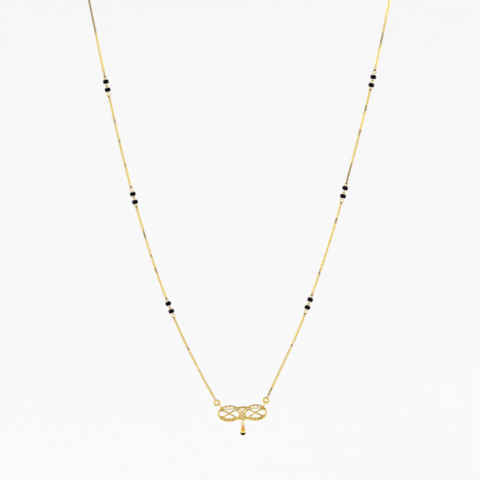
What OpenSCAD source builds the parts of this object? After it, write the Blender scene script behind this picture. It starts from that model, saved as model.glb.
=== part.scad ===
// Mangalsutra: a fine gold box chain with pairs of black beads, a pierced pendant and a bead drop.
// Worn form, in millimetres. +Z is up, the wearer's front faces -Y, and the origin is the middle of
// the neck at the height where the two strands pass its sides.

/* [Hang] */
// Lean of the front from upright, the pendant forward, in degrees
front_lean = 15; // [5:1:20]
// Turn of the pendant in the front, its right end up, in degrees
pendant_turn = 2.2; // [-3:0.1:3]

/* [Chain] */
// Width across the box chain
chain_w = 0.82; // [0.7:0.02:0.9]
// Wire of the chain's end rings at the pendant
link_wire = 0.22; // [0.18:0.01:0.24]

/* [Beads] */
// Diameter of a bead
bead_d = 2.1; // [1.8:0.05:2.3]
// Length of a bead along its hole
bead_l = 1.5; // [1.3:0.02:1.6]
// Hole through a bead
bead_bore = 0.44; // [0.4:0.02:0.6]
// Radius of a bead's rounded edges
bead_edge = 0.44; // [0.3:0.02:0.64]

/* [Pins] */
// Wire of an eye pin
pin_wire = 0.32; // [0.28:0.01:0.33]
// Outside of the large eye that the chain hooks into at one end of a bead pair
large_eye = 1.55; // [1.4:0.05:1.7]
// Outside of the small eye that the chain hooks into at the other end
small_eye = 1.24; // [1.2:0.02:1.3]
// Outside of the eyes that hook the two pins together
inner_eye = 1.04; // [1.02:0.02:1.1]
// Straight wire between a bead and a large eye
pin_neck = 0.3; // [0.1:0.05:0.5]

/* [Pendant] */
// Distance from the pendant's middle to the middle of a lobe
lobe_x = 4.7; // [4.5:0.05:4.9]
// Half the width of a lobe
lobe_a = 4.25; // [4.1:0.05:4.4]
// Half the height of a lobe
lobe_b = 3; // [2.9:0.05:3.1]
// Width of the main strands
strand_w = 0.6; // [0.5:0.02:0.64]
// Width of the petals' ribs
rib_w = 0.34; // [0.24:0.02:0.4]
// Thickness of the pendant at its highest strands
pendant_t = 1.1; // [1:0.05:1.4]

/* [Rings and drop] */
// Outside of the jump rings on the pendant
jump_ring = 2.5; // [2.4:0.05:2.6]
// Wire of the jump rings
jump_wire = 0.66; // [0.5:0.02:0.7]
// Outside of the drop's ring
drop_ring_d = 1.5; // [1.46:0.02:1.6]
// Wire of the drop's ring
drop_wire = 0.28; // [0.24:0.02:0.3]
// Diameter of the drop's bead
drop_bead_d = 1.9; // [1.7:0.05:1.94]

/* [Hidden] */
// Clearance between links that hang in each other
play = 0.03;
// Facets asked of a round shape
round_fn = 48;
gold = "gold";
black = "#17141a";

// Each strand's distance from the middle line, at every step down the front from the neck
route_step = 20;
left_route = [-54.4, -50.4, -46.1, -41.4, -36, -29.7, -21.9, -12, -1.2];
right_route = [54.5, 50.5, 45.8, 40.7, 35.3, 29, 21.7, 12.5, 2.5];
// How far before the middle of the neck the front starts
front_y = -20;
// Way round the neck on the right, from the front to the clasp; the left is its mirror image
neck_route = [
    [55.8, -15, 9], [56.2, -6.5, 15.5], [55.2, 3.5, 19], [52, 13.5, 21], [46.5, 23, 21.5],
    [38.5, 31, 21.5], [28, 37, 21], [15, 41, 20.5]
];
// Middle of the clasp
nape = [0, 42, 20];
// Rows: how far down the front the middle of each bead pair is, and whether the large eye is on
// its upper pin (1) or its lower pin (0)
left_pairs = [[32.9, 0], [73.3, 1], [112.7, 0]];
right_pairs = [[31.2, 1], [71.2, 0], [111.3, 0]];
top = 0;
middle = 1;
low = 2;

// Middle of the pendant on the front
pendant_x = 1.15;
pendant_down = 150.75;
// Middles of the pendant's eyelets, and where their stems meet the plate
eyelet = [8.28, 3.43];
eyelet_foot = [7.5, 1.8];
eyelet_d = 1.76;
eyelet_wire = 0.5;
// Ways in which the jump rings lie from their eyelets, in degrees above level
left_ring_way = 138;
right_ring_way = 65;
// Loop under the pendant, a little right of its middle, and the collar that it is soldered to: how far
// up the collar's two ends are, and their diameters
loop_x = 0.1;
loop_d = 1.7;
loop_wire = 0.45;
loop_down = 3.15;
collar = [[-2.8, 0.6], [-2.1, 0.9]];
// The chain's end rings at the jump rings and at the clasp
ring_link = 1.5;
clasp_link = 1.7;
clasp_link_wire = 0.3;
// The chain's end links: the strip that they are bent from, and their outside
strip_w = 0.44;
strip_t = 0.18;
box_w = 0.82;
box_l = 1;
// Clasp: radius of its two bends and its wire
hook_r = 1.6;
hook_wire = 0.8;
hook_ball = 1.1;
hook_sweep = 250;
// Pendant: half the height of its end loops, and how far its parts stand above its back
end_loop_h = 1.14;
strand_low = 0.95;
outline_t = 0.9;
petal_t = 0.75;
plate_t = 0.45;
// Strands of the pendant's right half, across from its middle and up: the one from the lobe's upper
// end to its foot, the one from its lower end up into the weave of the middle, the ends of the upper
// and lower outlines, and the arch over the middle
foot_strand = [[lobe_x, 0], [3.75, -0.62], [2.75, -1.15], [1.7, -2.02]];
weave_strand = [
    [lobe_x, 0], [3.55, 0.68], [2.6, 1.08], [1.85, 0.92], [1.3, 0.25], [0.72, -0.42], [0, -1],
    [-0.85, -1.66], [-1.5, -2.05]
];
upper_end = [[1.8, 1.85], [0.95, 1.22], [0, 0.48], [-0.75, -0.42], [-1.35, -1.25], [-1.9, -1.9]];
lower_end = [[1.2, -2.12], [0, -2.05], [-0.2, -2.05]];
arch = [[2, 1.75], [1.2, 1.98], [0, 2.06], [-0.2, 2.06]];
arch_w = 0.84;
// Angles between which the outlines follow the lobe, above and below level
outline_from = 17;
outline_to = 126;
// Upper petal: its lower edge and its slanted ribs, from their feet to tops that follow the outline
petal_edge = [[7.9, 1.3], [7, 1.6], [6, 1.58], [4.7, 1.54], [3.4, 1.6], [2.4, 1.76], [1.95, 1.9]];
rib_count = 4;
rib_pitch = 1.25;
rib_shift = 0.2;
rib_slant = 0.18;
rib_foot = 1.5;
rib_top = 2.75;
rib_fall = 0.1;
// Lower petal: its width, the angles that it and its flutes fill, and the flutes across it
petal_w = 0.34;
petal_from = -40;
petal_to = -129;
flute_from = -54;
flute_to = -126;
flute_count = 6;
flute_w = 0.42;
// Stems of the eyelets
stem_d = 0.6;
// Drop: the cap's lower edge and the bead's middle below its pivot, the gap round the bead, and the
// peg in the bead with its lower end above the bead's middle
cap_rim_z = -2.4;
drop_bead_z = -2.66;
seat_gap = 0.025;
peg_d = 0.32;
peg_z = 0.2;

// Wire inside a bead, a little under the eyes' so that their faces cross cleanly
shaft_wire = 0.31;

// Places along a bead pair, from its middle
inner_eye_z = (inner_eye - 2 * pin_wire - play) / 2;
bead_z = inner_eye_z + inner_eye / 2 + play + bead_l / 2;

// Distance between the middles of two links that hang taut in each other
function held(d1, wire1, d2, wire2) = (d1 + d2) / 2 - wire1 - wire2 - play;

// How far past the middle of a ring the first box link starts, whose strip lies in the ring's hole
function box_start(d, wire) = sqrt(pow(d / 2 - wire, 2) - pow(strip_w / 2, 2)) - strip_t - play;

// The outer eye at the upper or lower end of a bead pair: its outside, and its middle's place
function has_large_eye(pair, upper) = upper ? pair[1] == 1 : pair[1] == 0;
function eye_d(pair, upper) = has_large_eye(pair, upper) ? large_eye : small_eye;
function eye_z(pair, upper) =
    bead_z + bead_l / 2 + (has_large_eye(pair, upper) ? pin_neck : play) + eye_d(pair, upper) / 2;

// Where the first box link starts beyond a bead pair, and where the chain's tube does
function box_z(pair, upper) = eye_z(pair, upper) + box_start(eye_d(pair, upper), pin_wire);
function tube_z(pair, upper) = eye_z(pair, upper) + eye_d(pair, upper) / 2 + 2 * play;

// Smooth value through a list of numbers that are one step apart
function smooth(list, t) =
    let (
        n = len(list) - 1, i = max(0, min(n - 1, floor(t))), f = t - i,
        p1 = list[i], p2 = list[i + 1],
        p0 = i > 0 ? list[i - 1] : 2 * p1 - p2,
        p3 = i < n - 1 ? list[i + 2] : 2 * p2 - p1
    )
    p1 + f * (p2 - p0) / 2 + f * f * (2 * p0 - 5 * p1 + 4 * p2 - p3) / 2
        + f * f * f * (3 * (p1 - p2) + p3 - p0) / 2;

function unit(v) = v / norm(v);
function mirrored(p) = [-p[0], p[1], p[2]];

// A point of the front, x across and down it from the neck
function front(x, down) = [x, front_y - down * sin(front_lean), -down * cos(front_lean)];
function strand_x(route, down) = smooth(route, down / route_step);
function strand_turn(route, down) = atan((strand_x(route, down - 1) - strand_x(route, down + 1)) / 2);

// A point of the straight bead pair, z above its middle along the strand
function pair_point(route, down, z) =
    let (turn = strand_turn(route, down))
    front(strand_x(route, down) + z * sin(turn), down - z * cos(turn));

// Middle of a jump ring, across the front and down it
function ring_place(side) =
    let (
        way = side < 0 ? left_ring_way : right_ring_way,
        reach = held(eyelet_d, eyelet_wire, jump_ring, jump_wire),
        u = side * eyelet[0] + reach * cos(way), v = eyelet[1] + reach * sin(way)
    )
    on_pendant(u, v);
function on_pendant(u, v) = [
    pendant_x + u * cos(pendant_turn) - v * sin(pendant_turn),
    pendant_down - u * sin(pendant_turn) - v * cos(pendant_turn)
];

// Places that hang in the front's plane: children have z along the strand, x across it, y behind
module on_front(x, down, turn = 0) {
    translate(front(x, down)) rotate([-front_lean, 0, 0]) rotate([0, turn, 0]) children();
}
module on_strand(route, down) {
    on_front(strand_x(route, down), down, strand_turn(route, down)) children();
}

// A round ring in the plane of x and z, or of y and z when it is edge on
module ring(d, wire, edge_on = false) {
    rotate([90, 0, edge_on ? 90 : 0])
        rotate_extrude($fn = round_fn) translate([(d - wire) / 2, 0]) circle(d = wire, $fn = 24);
}

// A tube through points, with eight flat sides that lie w apart
module tube(points, w) {
    sides = 8;
    n = len(points);
    r = w / 2 / cos(180 / sides);
    rings = [
        for (i = [0:n - 1])
            let (
                along = unit(points[min(i + 1, n - 1)] - points[max(i - 1, 0)]),
                across = unit(cross(along, [0, 0, 1])), third = cross(along, across)
            )
            for (k = [0:sides - 1])
                let (a = (k + 0.5) * 360 / sides)
                points[i] + r * (cos(a) * across + sin(a) * third)
    ];
    walls = [
        for (i = [0:n - 2], k = [0:sides - 1])
            let (a = i * sides + k, b = i * sides + (k + 1) % sides)
            each [[a, b + sides, b], [a, a + sides, b + sides]]
    ];
    caps = [
        [for (k = [0:sides - 1]) k],
        [for (k = [sides - 1:-1:0]) (n - 1) * sides + k]
    ];
    polyhedron(points = rings, faces = concat(walls, caps), convexity = 4);
}

// Black glass bead with rounded edges, drilled through
module bead() {
    flat = bead_l / 2 - bead_edge;
    rim = bead_d / 2 - bead_edge;
    outline = concat(
        [[bead_bore / 2, -bead_l / 2]],
        [for (a = [-90:18:0]) [rim + bead_edge * cos(a), -flat + bead_edge * sin(a)]],
        [for (a = [0:18:90]) [rim + bead_edge * cos(a), flat + bead_edge * sin(a)]],
        [[bead_bore / 2, bead_l / 2]]
    );
    color(black) rotate_extrude($fn = round_fn) polygon(outline);
}

// Gold wire through a bead, with its outer eye facing the front and the inner one at z = inner_eye_z
module pin(outer_eye, outer_z, inner_edge_on) {
    color(gold) union() {
        translate([0, 0, outer_z]) ring(outer_eye, pin_wire);
        translate([0, 0, inner_eye_z]) ring(inner_eye, pin_wire, inner_edge_on);
        translate([0, 0, inner_eye_z + inner_eye / 2 - pin_wire / 2])
            cylinder(
                d = shaft_wire, $fn = round_fn,
                h = outer_z - inner_eye_z - (inner_eye + outer_eye) / 2 + pin_wire
            );
    }
}

// The beads and pins of one pair, upper or lower
module pair_bead(route, pair, upper) {
    on_strand(route, pair[0]) translate([0, 0, upper ? bead_z : -bead_z]) bead();
}
module pair_pin(route, pair, upper) {
    on_strand(route, pair[0]) rotate([0, upper ? 0 : 180, 0])
        pin(eye_d(pair, upper), eye_z(pair, upper), !has_large_eye(pair, upper));
}

// The first box link of a chain, edge on to the front, a frame of strip that starts at z = 0
module box_link() {
    difference() {
        translate([-strip_w / 2, -box_w / 2, 0]) cube([strip_w, box_w, box_l]);
        translate([-strip_w, strip_t - box_w / 2, strip_t])
            cube([2 * strip_w, box_w - 2 * strip_t, box_l - 2 * strip_t]);
    }
}

// The box link that hooks into an outer eye at the upper or lower end of a pair
module link_at_pair(route, pair, upper) {
    on_strand(route, pair[0]) rotate([0, upper ? 0 : 180, 0])
        translate([0, 0, box_z(pair, upper)]) box_link();
}

// Points of a chain's line from below a pair down the front to another end
function line_down(route, pair, to, rings, last) =
    let (from = pair[0] + tube_z(pair, false))
    concat(
        [pair_point(route, pair[0], -tube_z(pair, false))],
        [
            for (i = [1:rings - 1])
                let (down = from + (to - from) * i / rings) front(strand_x(route, down), down)
        ],
        [last]
    );

// Chain between two pairs, from below the one in a row of the table to above the next
module chain_between(route, pairs, row) {
    pair = pairs[row];
    next = pairs[row + 1];
    end_z = tube_z(next, true);
    color(gold) union() {
        tube(line_down(route, pair, next[0] - end_z, 4, pair_point(route, next[0], end_z)), chain_w);
        link_at_pair(route, pair, false);
        link_at_pair(route, next, true);
    }
}

// Chain from the lowest pair to the jump ring
module chain_to_ring(route, pair, side) {
    place = ring_place(side);
    reach = held(jump_ring, jump_wire, ring_link, link_wire);
    tip = reach + box_start(ring_link, link_wire);
    above = 8;
    turn = atan((strand_x(route, place[1] - above) - place[0]) / above);
    last = front(place[0] + tip * sin(turn), place[1] - tip * cos(turn));
    color(gold) union() {
        tube(line_down(route, pair, place[1] - tip, 3, last), chain_w);
        link_at_pair(route, pair, false);
        on_front(place[0], place[1], turn) translate([0, 0, reach]) ring(ring_link, link_wire, true);
    }
}

// Chain from the top pair round the neck to the clasp
module chain_round_neck(route, pair, side) {
    link_x = 2 * hook_r - hook_wire / 2 - play + clasp_link / 2 - clasp_link_wire;
    end = nape + [link_x + box_start(clasp_link, clasp_link_wire), 0, 0];
    stops = concat(
        [for (down = [24, 12, 0]) front(side * strand_x(route, down), down)], neck_route, [end]
    );
    step = 0.5;
    smoothed = [for (t = [0:step:len(stops) - 1]) smooth(stops, t)];
    points = concat(
        [pair_point(route, pair[0], tube_z(pair, true))],
        [for (p = smoothed) side < 0 ? mirrored(p) : p]
    );
    color(gold) union() {
        tube(points, chain_w);
        link_at_pair(route, pair, true);
        translate(nape + [side * link_x, 0, 0]) rotate([90, 0, 0])
            ring(clasp_link, clasp_link_wire);
    }
}

module jump(side) {
    place = ring_place(side);
    color(gold) on_front(place[0], place[1]) ring(jump_ring, jump_wire);
}

// A flat strip along a line of points, standing t proud of the pendant's back
module strip(points, w, t) {
    n = len(points);
    sides = [
        for (i = [0:n - 1])
            let (d = unit(points[min(i + 1, n - 1)] - points[max(i - 1, 0)])) [-d[1], d[0]] * w / 2
    ];
    rotate([90, 0, 0]) linear_extrude(t) polygon(concat(
        [for (i = [0:n - 1]) points[i] + sides[i]],
        [for (i = [n - 1:-1:0]) points[i] - sides[i]]
    ));
}

// Points of a lobe's outline, the middle of its band, from one angle to another
function lobe_arc(from, to, inset = strand_w / 2, drop = 0) = [
    let (steps = 12) for (i = [0:steps])
        let (a = from + (to - from) * i / steps)
        [lobe_x + (lobe_a - inset) * cos(a), (lobe_b - inset - drop) * sin(a)]
];

// Points of half the pendant's end loop, from its tip in to where its two strands cross
function end_loop(up) = [
    for (a = [92:-10:2])
        [lobe_x + (lobe_a - strand_w / 2) * sin(a), up * end_loop_h * sin(2 * a)]
];

// Smooth line through a few points
function curve(points, per_span = 3) = [
    for (t = [0:1 / per_span:len(points) - 1]) [
        smooth([for (p = points) p[0]], t), smooth([for (p = points) p[1]], t)
    ]
];

// Strands, arcs and petals of the pendant's right half, or of its left half before it is mirrored.
// In both lobes the strand that rises to the right crosses over the other
module half_pendant(left) {
    strip(concat(end_loop(1), curve(foot_strand)), strand_w, left ? strand_low : pendant_t);
    strip(concat(end_loop(-1), curve(weave_strand)), strand_w, left ? pendant_t : strand_low);
    strip(concat(lobe_arc(outline_from, outline_to), curve(upper_end)), strand_w, outline_t);
    strip(concat(lobe_arc(-outline_from, -outline_to), lower_end), strand_w, outline_t);
    strip(curve(arch), arch_w, strand_low);
    upper_petal();
    lower_petal();
}

// Pierced petal in the top of a lobe
module upper_petal() {
    strip(curve(petal_edge), rib_w, petal_t);
    for (i = [0:rib_count - 1]) {
        off = rib_pitch * (i - (rib_count - 1) / 2) + rib_shift;
        x = lobe_x + off;
        strip([[x - rib_slant, rib_foot], [x + rib_slant, rib_top - rib_fall * off * off]], rib_w, petal_t);
    }
}

// Fluted petal in the foot of a lobe: a thin crescent with a raised inner edge and flutes
module lower_petal() {
    inner = strand_w + petal_w;
    strip(lobe_arc(petal_from, petal_to, strand_w + petal_w / 2, petal_w / 4), petal_w + rib_w, plate_t);
    strip(lobe_arc(petal_from, petal_to, inner, petal_w / 2), rib_w, petal_t);
    for (i = [0:flute_count - 1]) {
        a = flute_from + (flute_to - flute_from) * i / (flute_count - 1);
        strip([
            [lobe_x + (lobe_a - strand_w / 2) * cos(a), (lobe_b - strand_w / 2) * sin(a)],
            [lobe_x + (lobe_a - inner) * cos(a), (lobe_b - inner - petal_w / 2) * sin(a)]
        ], flute_w, petal_t);
    }
}

// Eyelet on a short stem, standing edge on so that the jump ring faces the front
module eyelet_on_stem(side, way) {
    root = [side * eyelet[0], eyelet[1]] - (eyelet_d - eyelet_wire) / 2 * [cos(way), sin(way)];
    foot = [side * eyelet_foot[0], eyelet_foot[1]];
    translate([side * eyelet[0], 0, eyelet[1]]) rotate([0, 90 - way, 0])
        ring(eyelet_d, eyelet_wire, true);
    translate([foot[0], 0, foot[1]])
        rotate([0, atan2(root[0] - foot[0], root[1] - foot[1]), 0])
            cylinder(d = stem_d, h = norm(root - foot), $fn = round_fn);
}

// Cast and pierced plate with its eyelets and the loop below, all soldered into one piece
module pendant() {
    color(gold) on_front(pendant_x, pendant_down, -pendant_turn) union() {
        translate([0, pendant_t / 2, 0]) {
            half_pendant(false);
            mirror([1, 0, 0]) half_pendant(true);
        }
        eyelet_on_stem(-1, left_ring_way);
        eyelet_on_stem(1, right_ring_way);
        translate([loop_x, 0, -loop_down]) ring(loop_d, loop_wire, true);
        translate([loop_x, 0, collar[0][0]])
            cylinder(d1 = collar[0][1], d2 = collar[1][1], h = collar[1][0] - collar[0][0], $fn = round_fn);
    }
}

// Middle of the wire at the bottom of the pendant's loop, on which the drop's ring swings
function loop_bottom() =
    let (p = on_pendant(loop_x, -loop_down)) front(p[0], p[1]) - [0, 0, (loop_d - loop_wire) / 2];

// Middle of the wire at the bottom of the drop's ring, on which the drop itself swings
function drop_pivot() =
    loop_bottom() - [0, 0, drop_ring_d - 1.5 * drop_wire - loop_wire / 2 - play];

// Ring between the pendant's loop and the drop
module drop_ring() {
    color(gold) translate(drop_pivot() + [0, 0, (drop_ring_d - drop_wire) / 2])
        ring(drop_ring_d, drop_wire);
}

// Bell and cap with an eye on top, hollow below for the bead, and a peg to hold it
module drop_cap() {
    eye = drop_wire + 2 * pin_wire + 2 * play;
    bell = [
        [0, -0.2], [0.36, -0.22], [0.5, -0.34], [0.58, -0.55], [0.63, -0.85], [0.74, -1.14], [0.74, -1.2],
        [0.56, -1.28], [0.56, -1.4], [0.84, -1.48], [0.95, -1.72], [0.99, -2.06], [1.04, -2.12],
        [1.04, cap_rim_z], [0, cap_rim_z]
    ];
    color(gold) translate(drop_pivot()) union() {
        ring(eye, pin_wire, true);
        difference() {
            rotate_extrude($fn = round_fn) polygon(bell);
            translate([0, 0, drop_bead_z]) sphere(d = drop_bead_d + 2 * seat_gap, $fn = round_fn);
        }
        translate([0, 0, drop_bead_z + peg_z]) cylinder(d = peg_d, h = drop_bead_d / 2, $fn = round_fn);
    }
}

// Black bead in the cap, with a blind hole for the peg
module drop_bead() {
    hole_gap = 0.05;
    color(black) translate(drop_pivot()) difference() {
        translate([0, 0, drop_bead_z]) sphere(d = drop_bead_d, $fn = round_fn);
        translate([0, 0, drop_bead_z + peg_z - 2 * hole_gap])
            cylinder(d = peg_d + 2 * hole_gap, h = drop_bead_d, $fn = round_fn);
    }
}

// Clasp: an S of round wire with a ball at each tip and one in the middle
module s_hook() {
    tip = hook_sweep - 180;
    color(gold) translate(nape) union() {
        for (turn = [0, 180])
            rotate([0, turn, 0]) translate([hook_r, 0, 0]) {
                rotate([90, 0, 0]) rotate([0, 0, -tip])
                    rotate_extrude(angle = hook_sweep, $fn = round_fn)
                        translate([hook_r, 0]) circle(d = hook_wire, $fn = 24);
                translate([hook_r * cos(tip), 0, -hook_r * sin(tip)])
                    sphere(d = hook_ball, $fn = round_fn);
            }
        sphere(d = hook_ball, $fn = round_fn);
    }
}

pair_bead(left_route, left_pairs[top], true);  // bead_left_top_upper
pair_bead(left_route, left_pairs[top], false);  // bead_left_top_lower
pair_bead(left_route, left_pairs[middle], true);  // bead_left_middle_upper
pair_bead(left_route, left_pairs[middle], false);  // bead_left_middle_lower
pair_bead(left_route, left_pairs[low], true);  // bead_left_low_upper
pair_bead(left_route, left_pairs[low], false);  // bead_left_low_lower
pair_bead(right_route, right_pairs[top], true);  // bead_right_top_upper
pair_bead(right_route, right_pairs[top], false);  // bead_right_top_lower
pair_bead(right_route, right_pairs[middle], true);  // bead_right_middle_upper
pair_bead(right_route, right_pairs[middle], false);  // bead_right_middle_lower
pair_bead(right_route, right_pairs[low], true);  // bead_right_low_upper
pair_bead(right_route, right_pairs[low], false);  // bead_right_low_lower
pair_pin(left_route, left_pairs[top], true);  // pin_left_top_upper
pair_pin(left_route, left_pairs[top], false);  // pin_left_top_lower
pair_pin(left_route, left_pairs[middle], true);  // pin_left_middle_upper
pair_pin(left_route, left_pairs[middle], false);  // pin_left_middle_lower
pair_pin(left_route, left_pairs[low], true);  // pin_left_low_upper
pair_pin(left_route, left_pairs[low], false);  // pin_left_low_lower
pair_pin(right_route, right_pairs[top], true);  // pin_right_top_upper
pair_pin(right_route, right_pairs[top], false);  // pin_right_top_lower
pair_pin(right_route, right_pairs[middle], true);  // pin_right_middle_upper
pair_pin(right_route, right_pairs[middle], false);  // pin_right_middle_lower
pair_pin(right_route, right_pairs[low], true);  // pin_right_low_upper
pair_pin(right_route, right_pairs[low], false);  // pin_right_low_lower
chain_round_neck(left_route, left_pairs[top], -1);  // chain_left_back
chain_between(left_route, left_pairs, top);  // chain_left_upper
chain_between(left_route, left_pairs, middle);  // chain_left_lower
chain_to_ring(left_route, left_pairs[low], -1);  // chain_left_pendant
chain_round_neck(right_route, right_pairs[top], 1);  // chain_right_back
chain_between(right_route, right_pairs, top);  // chain_right_upper
chain_between(right_route, right_pairs, middle);  // chain_right_lower
chain_to_ring(right_route, right_pairs[low], 1);  // chain_right_pendant
jump(-1);  // jump_ring_left
jump(1);  // jump_ring_right
pendant();
drop_ring();
drop_cap();
drop_bead();
s_hook();
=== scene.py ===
import math

import bmesh
import bpy
from mathutils import Matrix, Vector


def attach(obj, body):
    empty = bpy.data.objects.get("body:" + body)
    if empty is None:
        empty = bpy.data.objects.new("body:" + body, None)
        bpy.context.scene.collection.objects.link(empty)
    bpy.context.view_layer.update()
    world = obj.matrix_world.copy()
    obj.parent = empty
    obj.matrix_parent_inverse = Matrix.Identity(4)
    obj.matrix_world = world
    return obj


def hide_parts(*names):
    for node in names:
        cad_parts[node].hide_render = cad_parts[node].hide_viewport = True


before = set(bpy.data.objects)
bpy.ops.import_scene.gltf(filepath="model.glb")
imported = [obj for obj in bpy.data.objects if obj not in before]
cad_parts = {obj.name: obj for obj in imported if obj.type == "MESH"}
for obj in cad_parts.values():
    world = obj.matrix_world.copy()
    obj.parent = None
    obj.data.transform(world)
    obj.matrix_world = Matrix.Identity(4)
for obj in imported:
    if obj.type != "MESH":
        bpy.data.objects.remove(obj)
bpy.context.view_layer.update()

# Setting: the necklace hangs as it is worn, with nobody in it, over a plain pale floor in a white
# light tent. It is seen square to its leaning front, so from a little above level. The floor lies
# a few centimetres under the drop, where large soft lamps leave almost no shadow.
floor_z = -0.2
floor_side = 60
view_distance = 1.4
view_middle = (0.0003, -0.0429, -0.0854)
view_width = 0.1728
sensor = 36


def linear(hex_colour):
    """The linear colour of an sRGB hex value."""
    channels = [int(hex_colour[i:i + 2], 16) / 255 for i in (1, 3, 5)]
    return [c / 12.92 if c <= 0.04045 else ((c + 0.055) / 1.055) ** 2.4 for c in channels] + [1]


def add_node(tree, kind, inputs, **settings):
    """Adds a node, gives it its settings, and sets or links its inputs."""
    made = tree.nodes.new(kind)
    for name, value in settings.items():
        setattr(made, name, value)
    for key, value in inputs.items():
        if isinstance(value, bpy.types.NodeSocket):
            tree.links.new(value, made.inputs[key])
        else:
            made.inputs[key].default_value = value
    return made


def new_material(name):
    """An empty material and its node tree."""
    material = bpy.data.materials.new(name)
    material.use_nodes = True
    material.node_tree.nodes.clear()
    return material, material.node_tree


# Matt white studio paper, with the faint cloudy unevenness of its surface
paper, tree = new_material("matt_studio_paper")
coordinates = add_node(tree, "ShaderNodeTexCoord", {})
clouds = add_node(tree, "ShaderNodeTexNoise", {
    "Vector": coordinates.outputs["Object"], "Scale": 4, "Detail": 2,
})
paper_colour = add_node(tree, "ShaderNodeMix", {
    "Factor": clouds.outputs["Fac"], "A": linear("#F4F4F4"), "B": linear("#F6F6F6"),
}, data_type="RGBA")
paper_shader = add_node(tree, "ShaderNodeBsdfPrincipled", {
    "Base Color": paper_colour.outputs["Result"], "Roughness": 0.9, "Specular IOR Level": 0.1,
})
add_node(tree, "ShaderNodeOutputMaterial", {"Surface": paper_shader.outputs["BSDF"]})

shape = bmesh.new()
bmesh.ops.create_grid(shape, x_segments=1, y_segments=1, size=floor_side / 2)
bmesh.ops.translate(shape, vec=(0, 0, floor_z), verts=shape.verts)
floor_mesh = bpy.data.meshes.new("floor")
shape.to_mesh(floor_mesh)
shape.free()
floor_mesh.materials.append(paper)
floor = bpy.data.objects.new("floor", floor_mesh)
bpy.context.scene.collection.objects.link(floor)

lens = bpy.data.cameras.new("camera")
lens.sensor_width = sensor
lens.lens = sensor * view_distance / view_width
lens.clip_end = 20
camera = bpy.data.objects.new("camera", lens)
view_lean = math.radians(15)
toward_viewer = Vector((0, -math.cos(view_lean), math.sin(view_lean)))
camera.location = Vector(view_middle) + view_distance * toward_viewer
camera.rotation_euler = (math.radians(90) - view_lean, 0, 0)
bpy.context.scene.collection.objects.link(camera)
bpy.context.scene.camera = camera

# Lamps: name, place, size in metres, watts
for name, place, size, watts in (
    ("lamp_left", (-1.1, -0.7, 1.1), 0.7, 2),
    ("lamp_right", (1.2, -0.3, 1.3), 0.8, 2),
    ("lamp_back", (0.2, 1.6, 1.5), 0.9, 1.5),
):
    light = bpy.data.lights.new(name, "AREA")
    light.size = size
    light.energy = watts
    lamp = bpy.data.objects.new(name, light)
    lamp.location = place
    aim = Vector(view_middle) - Vector(place)
    lamp.rotation_euler = aim.to_track_quat("-Z", "Y").to_euler()
    bpy.context.scene.collection.objects.link(lamp)

# High lamp behind a wide white sheet, which lights the floor evenly and is flagged off the gold
light = bpy.data.lights.new("lamp_above", "SUN")
light.energy = 1.34
light.color = (0.88, 0.955, 1)
light.angle = math.radians(16)
lamp = bpy.data.objects.new("lamp_above", light)
lamp.rotation_euler = (math.radians(-14), math.radians(-8), 0)
lamp.visible_glossy = False
bpy.context.scene.collection.objects.link(lamp)

# Light tent: white to the eye, and in the gold bright sides, a dimmer top and soft folds, with the
# dark round opening that the camera looks in through
world = bpy.data.worlds.new("light_tent")
bpy.context.scene.world = world
world.use_nodes = True
tree = world.node_tree
tree.nodes.clear()
direction = add_node(tree, "ShaderNodeTexCoord", {})
ways = add_node(tree, "ShaderNodeSeparateXYZ", {"Vector": direction.outputs["Generated"]})
height = add_node(tree, "ShaderNodeMapRange", {
    "Value": ways.outputs["Z"], "From Min": 0, "From Max": 1, "To Min": 1.5, "To Max": 0.26,
})
folds = add_node(tree, "ShaderNodeTexNoise", {
    "Vector": direction.outputs["Generated"], "Scale": 2.2, "Detail": 1,
})
fold_light = add_node(tree, "ShaderNodeMapRange", {
    "Value": folds.outputs["Fac"], "From Min": 0.42, "From Max": 0.6,
    "To Min": 0.45, "To Max": 1.3,
})
toward = add_node(tree, "ShaderNodeVectorMath", {
    0: direction.outputs["Generated"], 1: toward_viewer,
}, operation="DOT_PRODUCT")
opening = add_node(tree, "ShaderNodeMapRange", {
    "Value": toward.outputs["Value"], "From Min": math.cos(math.radians(22)),
    "From Max": math.cos(math.radians(16)), "To Min": 1, "To Max": 0.1,
})
tent = add_node(tree, "ShaderNodeMath", {
    0: height.outputs["Result"], 1: fold_light.outputs["Result"],
}, operation="MULTIPLY")
open_tent = add_node(tree, "ShaderNodeMath", {
    0: tent.outputs["Value"], 1: opening.outputs["Result"],
}, operation="MULTIPLY")
warmth = add_node(tree, "ShaderNodeMapRange", {
    "Value": open_tent.outputs["Value"], "From Min": 0.05, "From Max": 0.5,
})
tent_colour = add_node(tree, "ShaderNodeMix", {
    "Factor": warmth.outputs["Result"], "A": linear("#FF9C58"), "B": (1, 1, 1, 1),
}, data_type="RGBA")
tent_light = add_node(tree, "ShaderNodeBackground", {
    "Color": tent_colour.outputs["Result"], "Strength": open_tent.outputs["Value"],
})
plain = add_node(tree, "ShaderNodeBackground", {"Color": (1, 1, 1, 1), "Strength": 0.93})
path = add_node(tree, "ShaderNodeLightPath", {})
seen = add_node(tree, "ShaderNodeMixShader", {
    0: path.outputs["Is Camera Ray"], 1: tent_light.outputs["Background"],
    2: plain.outputs["Background"],
})
add_node(tree, "ShaderNodeOutputWorld", {"Surface": seen.outputs["Shader"]})
bpy.context.scene.view_settings.view_transform = "Standard"

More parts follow.
